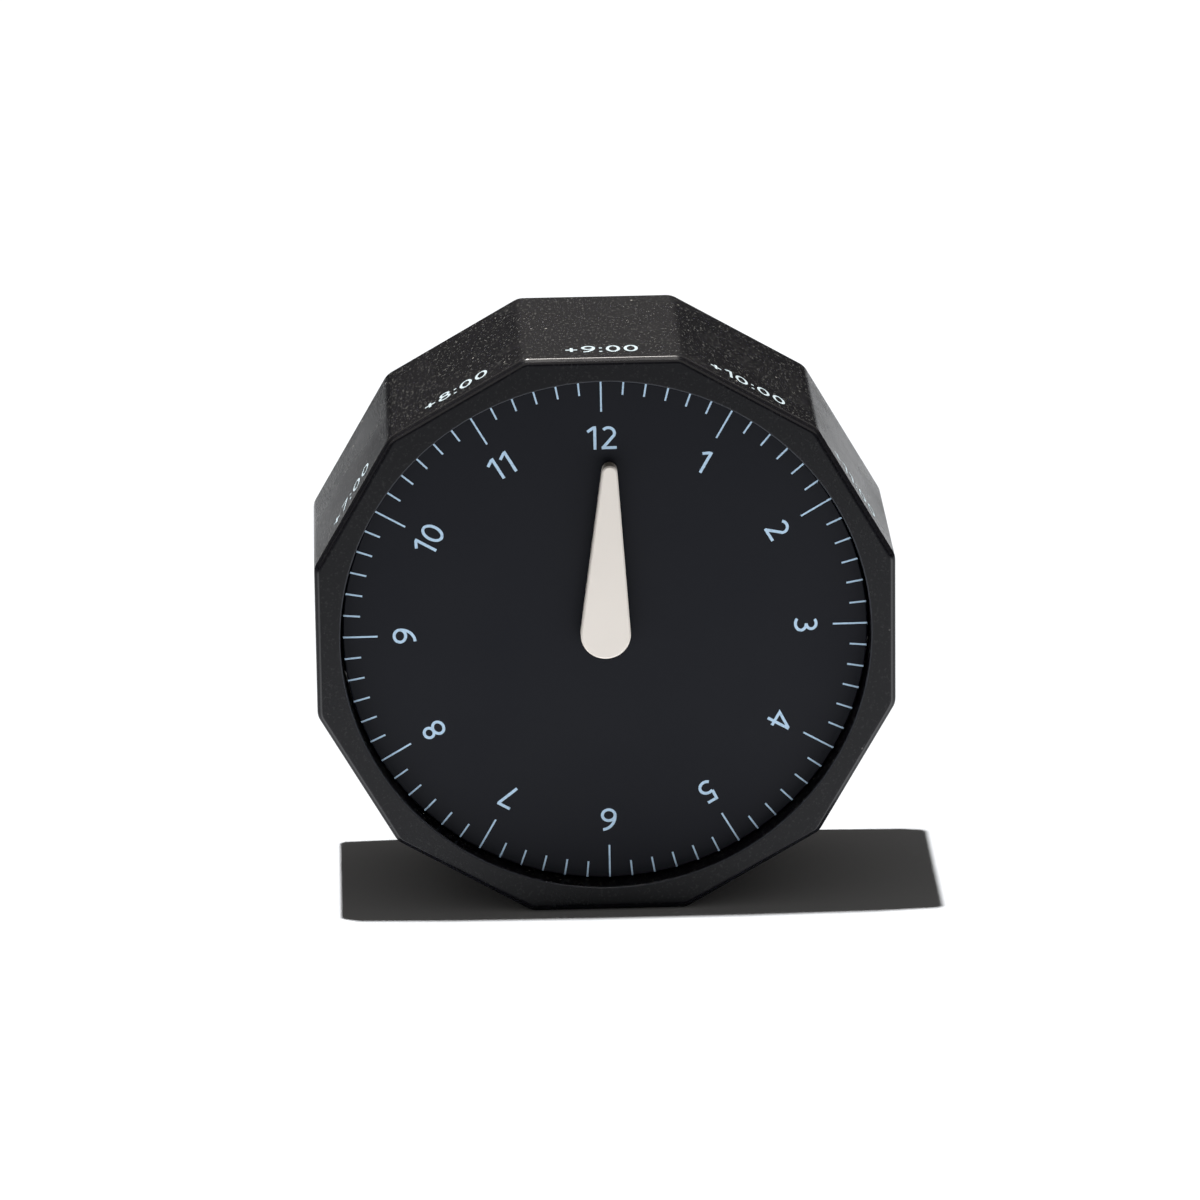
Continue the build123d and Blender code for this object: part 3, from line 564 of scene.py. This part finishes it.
@dataclass(frozen=True)
class EasedPiece:
    """A CAD piece with rounded front and back edges, as its mould leaves them.

    The rounding reaches one width from the outside edges and another from those round an opening.
    Only edges that lie within the depth from the front or back are rounded.
    """

    node: str
    width: float
    depth: float
    opening_width: float

    def merged(self) -> bmesh.types.BMesh:
        """Copy the CAD piece with its loose triangles merged into whole faces.

        Returns:
            The copy.
        """
        mesh = bmesh.new()
        mesh.from_mesh(frame["nodes"][self.node].data)
        bmesh.ops.remove_doubles(mesh, verts=mesh.verts, dist=JOIN_GAP)
        bmesh.ops.dissolve_limit(mesh, angle_limit=math.radians(FLAT_DEG), verts=mesh.verts,
                                 edges=mesh.edges)
        return mesh

    def sharp_edges(self, mesh: bmesh.types.BMesh, outside: bool) -> list[bmesh.types.BMEdge]:
        """Find the edges to round.

        Args:
            mesh: the merged copy of the piece.
            outside: whether the outside edges are wanted, or those round an opening.

        Returns:
            The sharp edges near the front or back.
        """
        low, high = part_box(self.node)
        middle = (low + high) / 2
        reach = (high.x - low.x) / 2 * RIM_SHARE
        return [edge for edge in mesh.edges
                if len(edge.link_faces) == 2 and edge.calc_face_angle() > math.radians(SHARP_DEG)
                and all(min(v.co.y - low.y, high.y - v.co.y) < self.depth for v in edge.verts)
                and all((math.hypot(v.co.x - middle.x, v.co.z - middle.z) > reach) == outside
                        for v in edge.verts)]

    def edge_finishes(self) -> list[bpy.types.Material]:
        """The finishes of opening and outside edges that differ from the piece's own: none."""
        return []

    def build(self, finish: bpy.types.Material, body: str, slot: str) -> bpy.types.Object:
        """Stand the rounded copy in the CAD piece's place.

        Args:
            finish: the piece's finish.
            body: the body that it moves with.
            slot: the record's material slot; not used.

        Returns:
            The rounded piece.
        """
        mesh = self.merged()
        edge_finishes = self.edge_finishes()
        for width, outside in ((self.width, True), (self.opening_width, False)):
            made = bmesh.ops.bevel(mesh, geom=self.sharp_edges(mesh, outside), offset=width,
                                   segments=ROUND_STEPS, profile=0.5, affect="EDGES", material=-1,
                                   clamp_overlap=True)
            # Rounded faces round an opening take a lighter grey, a painted highlight, where the piece has edge
            # finishes
            for face in made["faces"]:
                if edge_finishes and abs(face.normal.y) < ROUNDED_SHARE:
                    face.material_index = OUTSIDE_SLOT if outside else OPENING_SLOT
        for face in mesh.faces:
            face.smooth = True
        for edge in mesh.edges:
            edge.smooth = len(edge.link_faces) == 2 and edge.calc_face_angle() < math.radians(CRISP_DEG)
        piece = finish_piece(mesh, self.node + "_rounded", finish, body)
        for edge_finish in edge_finishes:
            piece.data.materials.append(edge_finish)
        # Large flat faces stay flat to the eye where they meet rounded edges
        weigh = piece.modifiers.new("even_faces", "WEIGHTED_NORMAL")
        weigh.keep_sharp = True
        weigh.weight = LARGE_FACE_WEIGHT
        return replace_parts(piece, self.node)


@dataclass(frozen=True)
class EasedShell(EasedPiece):
    """The twelve-sided housing, whose light turns near its corners and nowhere else."""

    corner_softness: float = 2.0 * MM

    def merged(self) -> bmesh.types.BMesh:
        """Copy the housing and cut each outer facet near its two corners.

        Returns:
            The cut copy.
        """
        mesh = super().merged()
        low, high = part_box(self.node)
        middle = (low + high) / 2
        flat_radius = high.z - middle.z
        corner = flat_radius * math.tan(math.pi / HOURS)
        for index in range(HOURS):
            angle = 2 * math.pi * index / HOURS
            normal = Vector((math.sin(angle), 0, math.cos(angle)))
            along = Vector((math.cos(angle), 0, -math.sin(angle)))
            for side in (-1, 1):
                faces = [face for face in mesh.faces if face.normal.dot(normal) > FACET_COSINE
                         and (face.calc_center_median() - middle).dot(normal) > flat_radius * RIM_SHARE]
                edges = {edge for face in faces for edge in face.edges}
                bmesh.ops.bisect_plane(mesh, geom=[*faces, *edges], plane_no=along,
                                       plane_co=middle + along * side * (corner - self.corner_softness))
        return mesh

    def edge_finishes(self) -> list[bpy.types.Material]:
        """The edge round the dial's opening, painted lighter grey as a highlight, and the rubbed outside edge."""
        return [EdgeFinish.OPENING.value.make(), EdgeFinish.OUTSIDE.value.make()]


# The pieces that a hand or an eye meets
EASED_PIECES = (
    EasedShell("front_housing", width=0.52 * MM, depth=1.3 * MM, opening_width=0.16 * MM),
    EasedPiece("battery_door", width=0.2 * MM, depth=0.4 * MM, opening_width=0.1 * MM),
    EasedPiece("hour_hand", width=0.12 * MM, depth=0.5 * MM, opening_width=0.12 * MM),
    EasedPiece("setting_knob", width=0.15 * MM, depth=0.4 * MM, opening_width=0.1 * MM),
)


@dataclass(frozen=True)
class DialPrint:
    """The ticks and the numerals that are printed on the round dial."""

    front: float
    centre_height: float
    outer_radius: float = 54.35 * MM
    long_inner_radius: float = 47.2 * MM
    short_inner_radius: float = 50.9 * MM
    tick_width: float = 0.37 * MM
    numeral_radius: float = 41.6 * MM
    numeral_height: float = 5.0 * MM
    numeral_stroke: float = 0.61 * MM
    thickness: float = 0.03 * MM
    ticks_per_hour: int = 6
    # The dial hangs this far from upright
    turn_deg: float = -0.33

    def turned(self, hours: float) -> Matrix:
        """The turn that brings the twelve o'clock place to an hour."""
        return about_axis(self.centre_height, HOUR_DEG * hours + self.turn_deg)

    def ticks(self) -> bmesh.types.BMesh:
        """Build the ring of ticks, the long ones at the hours.

        Returns:
            All the ticks in one bmesh.
        """
        mesh = bmesh.new()
        for step in range(HOURS * self.ticks_per_hour):
            inner = self.short_inner_radius if step % self.ticks_per_hour else self.long_inner_radius
            size = Matrix.Diagonal((self.tick_width, self.thickness * 2, self.outer_radius - inner, 1))
            height = self.centre_height + (self.outer_radius + inner) / 2
            middle = Matrix.Translation((0, self.front, height))
            bmesh.ops.create_cube(mesh, size=1.0,
                                  matrix=self.turned(step / self.ticks_per_hour) @ middle @ size)
        return mesh

    def numerals(self) -> bmesh.types.BMesh:
        """Build the numerals one to twelve, each with its top towards the rim.

        Returns:
            All the numerals in one bmesh.
        """
        mesh = bmesh.new()
        middle = Matrix.Translation((0, self.front, self.centre_height + self.numeral_radius))
        for hour in range(1, HOURS + 1):
            add_figures(mesh, str(hour), self.numeral_height, self.numeral_stroke,
                        self.turned(hour) @ middle @ FACE_FRONT)
        return mesh

    def build(self) -> None:
        """Print the ticks and the numerals on the dial."""
        ink = Ink.DIAL.value.make()
        finish_piece(self.ticks(), "dial_ticks", ink, "dial")
        finish_piece(self.numerals(), "dial_numerals", ink, "dial")


@dataclass(frozen=True)
class FacetPrint:
    """Plain hour numbers printed on the twelve facets, near their front edge."""

    front: float
    top: float
    centre_height: float
    figure_height: float = 4.6 * MM
    stroke: float = 0.62 * MM
    spread: float = 0.92
    margin: float = 4.6 * MM

    def numbers(self) -> bmesh.types.BMesh:
        """Build the hour numbers of all facets.

        Returns:
            One bmesh with twelve of them.
        """
        mesh = bmesh.new()
        middle = Matrix.Translation((0, self.front + self.margin + self.figure_height / 2, self.top))
        for index in range(HOURS):
            hour = (index + TOP_HOUR - 1) % HOURS + 1
            add_figures(mesh, f"+{hour}:00", self.figure_height, self.stroke,
                        about_axis(self.centre_height, HOUR_DEG * index) @ middle, self.spread)
        return mesh

    def build(self) -> None:
        """Print the numbers on the housing."""
        finish_piece(self.numbers(), "facet_numbers", Ink.FACETS.value.make(), "case")


@dataclass(frozen=True)
class Studio:
    """A white floor, an overhead key light and a camera at the photograph's viewing angle."""

    camera_place: tuple[float, float, float] = (-51.4 * MM, -1621.6 * MM, 581.4 * MM)
    yaw_deg: float = -1.801
    pitch_deg: float = -17.803
    roll_deg: float = 0.756
    lens_mm: float = 244.06
    nearest: float = 0.05
    key_place: tuple[float, float, float] = (-0.312, 0.1, 2.958)
    key_irradiance: float = 3.6
    key_colour: tuple[float, float, float] = (1.0, 0.985, 0.965)
    key_radius: float = 0.03
    floor_size: float = 6.0
    paper_colour: tuple[float, float, float, float] = (0.93, 0.96, 1.0, 1)
    bounce_colour: tuple[float, float, float, float] = (0.93, 0.97, 1.0, 1)
    bounce_strength: float = 1.4
    # The floor's painted pool of light fades between these distances from the pool's middle, down to the rim's
    # share
    pool_centre: tuple[float, float, float] = (0.15, 0.1, 0)
    pool_start: float = 0.22
    pool_end: float = 0.95
    pool_rim_share: float = 0.05
    # Under the clock the floor has painted shade, and its light is whole at this distance
    foot_reach: float = 0.09
    # Rays that come straight or off one surface are less deep than this. Only they meet the painted pool of light
    first_rays: float = 1.5
    room_colour: tuple[float, float, float, float] = (1.0, 0.95, 0.9, 1)
    room_strength: float = 0.07
    wall_strength: float = 0.015
    # Reflections from level, 0, to overhead, 1, meet the ceiling and its panel between these
    ceiling_rise: tuple[float, float] = (0.13, 0.36)
    ceiling_strength: float = 0.36
    panel_rise: tuple[float, float] = (0.98, 0.995)
    panel_strength: float = 22.0

    def camera(self) -> None:
        """Set up the camera."""
        data = bpy.data.cameras.new("camera")
        data.lens = self.lens_mm
        data.clip_start = self.nearest
        holder = bpy.data.objects.new("camera", data)
        turn = (Matrix.Rotation(math.radians(self.yaw_deg), 4, "Z")
                @ Matrix.Rotation(math.radians(self.pitch_deg), 4, "X")
                @ Matrix.Rotation(math.radians(self.roll_deg), 4, "Y"))
        holder.matrix_world = Matrix.Translation(self.camera_place) @ turn @ FACE_FRONT
        bpy.context.scene.collection.objects.link(holder)
        bpy.context.scene.camera = holder

    def lamps(self) -> None:
        """Hang the key light nearly overhead, a few metres up, as strong as its irradiance asks for."""
        data = bpy.data.lights.new("key", "POINT")
        data.energy = self.key_irradiance * 4 * math.pi * self.key_place[2] ** 2
        data.color = self.key_colour
        data.shadow_soft_size = self.key_radius
        holder = bpy.data.objects.new("key", data)
        holder.location = self.key_place
        bpy.context.scene.collection.objects.link(holder)

    def paper(self) -> bpy.types.Material:
        """Make the floor's white paper, which glows for bounced rays and sends extra light up to the object as a
        bright sweep does, with a painted pool of light round the clock.

        Returns:
            The material.
        """
        material, tree, output = new_material("floor_paper")
        rays = add_node(tree, "ShaderNodeLightPath")
        direct = add_node(tree, "ShaderNodeMath", {"operation": "LESS_THAN", 1: self.first_rays},
                          {0: rays.outputs["Ray Depth"]})
        # A painted pool of light round the clock, with painted shade under it, which only reflections and bounced
        # light show
        place = add_node(tree, "ShaderNodeTexCoord").outputs["Object"]
        far = add_node(tree, "ShaderNodeVectorMath", {"operation": "DISTANCE", 1: self.pool_centre},
                       {0: place})
        pool = add_node(tree, "ShaderNodeMapRange",
                        {"interpolation_type": "SMOOTHSTEP", "From Min": self.pool_start,
                         "From Max": self.pool_end, "To Min": 1.0, "To Max": self.pool_rim_share},
                        {"Value": far.outputs["Value"]})
        near = add_node(tree, "ShaderNodeVectorMath", {"operation": "LENGTH"}, {0: place})
        foot = add_node(tree, "ShaderNodeMapRange",
                        {"interpolation_type": "SMOOTHSTEP", "From Max": self.foot_reach},
                        {"Value": near.outputs["Value"]})
        open_pool = add_node(tree, "ShaderNodeMath", {"operation": "MULTIPLY"},
                             {0: pool.outputs["Result"], 1: foot.outputs["Result"]})
        kept = add_node(tree, "ShaderNodeMath", {"operation": "MULTIPLY"},
                        {0: open_pool.outputs["Value"], 1: direct.outputs["Value"]}).outputs["Value"]
        share = add_node(tree, "ShaderNodeMath", {"operation": "MAXIMUM"},
                         {0: kept, 1: rays.outputs["Is Camera Ray"]})
        lit = add_node(tree, "ShaderNodeMix",
                       {"data_type": "RGBA", MIX_FIRST: (0, 0, 0, 1), MIX_SECOND: self.paper_colour},
                       {MIX_SHARE: share.outputs["Value"]})
        sheet = add_node(tree, "ShaderNodeBsdfDiffuse", {}, {"Color": lit.outputs[MIX_RESULT]})
        lift = add_node(tree, "ShaderNodeMath", {"operation": "MULTIPLY"},
                        {0: rays.outputs["Is Diffuse Ray"], 1: kept})
        level = add_node(tree, "ShaderNodeMath", {"operation": "MULTIPLY", 1: self.bounce_strength},
                         {0: lift.outputs["Value"]})
        bounce = add_node(tree, "ShaderNodeEmission", {"Color": self.bounce_colour},
                          {"Strength": level.outputs["Value"]})
        both = add_node(tree, "ShaderNodeAddShader", {},
                        {0: sheet.outputs["BSDF"], 1: bounce.outputs["Emission"]})
        tree.links.new(both.outputs["Shader"], output.inputs["Surface"])
        material.cycles.emission_sampling = "NONE"
        return material

    def floor(self) -> None:
        """Lay the floor."""
        mesh = bmesh.new()
        bmesh.ops.create_grid(mesh, x_segments=1, y_segments=1, size=self.floor_size / 2)
        data = bpy.data.meshes.new("floor")
        mesh.to_mesh(data)
        mesh.free()
        data.materials.append(self.paper())
        holder = bpy.data.objects.new("floor", data)
        bpy.context.scene.collection.objects.link(holder)

    def world(self) -> None:
        """Make the room: white to the camera, with dark walls and a lit ceiling in reflections, else dim."""
        world = bpy.data.worlds.new("room")
        world.use_nodes = True
        tree = world.node_tree
        tree.nodes.clear()
        rays = add_node(tree, "ShaderNodeLightPath")
        way = add_node(tree, "ShaderNodeTexCoord")
        up = add_node(tree, "ShaderNodeSeparateXYZ", {}, {0: way.outputs["Generated"]}).outputs["Z"]
        ceiling = add_node(tree, "ShaderNodeMapRange",
                           {"interpolation_type": "SMOOTHSTEP", "From Min": self.ceiling_rise[0],
                            "From Max": self.ceiling_rise[1], "To Min": self.wall_strength,
                            "To Max": self.ceiling_strength}, {"Value": up})
        panel = add_node(tree, "ShaderNodeMapRange",
                         {"interpolation_type": "SMOOTHSTEP", "From Min": self.panel_rise[0],
                          "From Max": self.panel_rise[1], "To Max": self.panel_strength}, {"Value": up})
        above = add_node(tree, "ShaderNodeMath", {"operation": "ADD"},
                         {0: ceiling.outputs["Result"], 1: panel.outputs["Result"]})
        strength = add_node(tree, "ShaderNodeMix", {"data_type": "FLOAT", NUMBER_FIRST: self.room_strength},
                            {MIX_SHARE: rays.outputs["Is Glossy Ray"],
                             NUMBER_SECOND: above.outputs["Value"]})
        room = add_node(tree, "ShaderNodeBackground", {"Color": self.room_colour},
                        {"Strength": strength.outputs[NUMBER_RESULT]})
        white = add_node(tree, "ShaderNodeBackground", {"Color": (1, 1, 1, 1), "Strength": 1.0})
        both = add_node(tree, "ShaderNodeMixShader", {},
                        {0: rays.outputs["Is Camera Ray"], 1: room.outputs["Background"],
                         2: white.outputs["Background"]})
        add_node(tree, "ShaderNodeOutputWorld", {}, {"Surface": both.outputs["Shader"]})
        bpy.context.scene.world = world

    def build(self) -> None:
        """Put up the whole set."""
        self.camera()
        self.lamps()
        self.floor()
        self.world()
        bpy.context.scene.view_settings.view_transform = "Standard"


def dress_nodes() -> dict[str, bpy.types.Material]:
    """Give every CAD node the finish of its material slot.

    Returns:
        The materials by slot.
    """
    materials = {finish.name.lower(): finish.value.make() for finish in Finish}
    for row in frame["record"]["subparts"]:
        node = frame["nodes"][row["node"]]
        node.data.materials.clear()
        node.data.materials.append(materials[row["material_slot"]])
        log.info("%s: %s", row["node"], row["material_slot"])
    return materials


def main() -> None:
    """Dress the clock, round its edges, print its dial and facets, and put up the studio."""
    logging.basicConfig(level=logging.INFO)
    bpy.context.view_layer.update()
    materials = dress_nodes()
    slots = {row["node"]: row["material_slot"] for row in frame["record"]["subparts"]}
    bodies = {node: body for body, nodes in frame["record"]["behaviour"]["bodies"].items() for node in nodes}
    for piece in EASED_PIECES:
        slot = slots[piece.node]
        piece.build(materials[slot], bodies[piece.node], slot)
    dial_low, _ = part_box("dial")
    case_low, case_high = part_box("front_housing")
    centre_height = (case_low.z + case_high.z) / 2
    DialPrint(dial_low.y, centre_height).build()
    FacetPrint(case_low.y, case_high.z, centre_height).build()
    Studio().build()


if __name__ == "__main__":
    main()
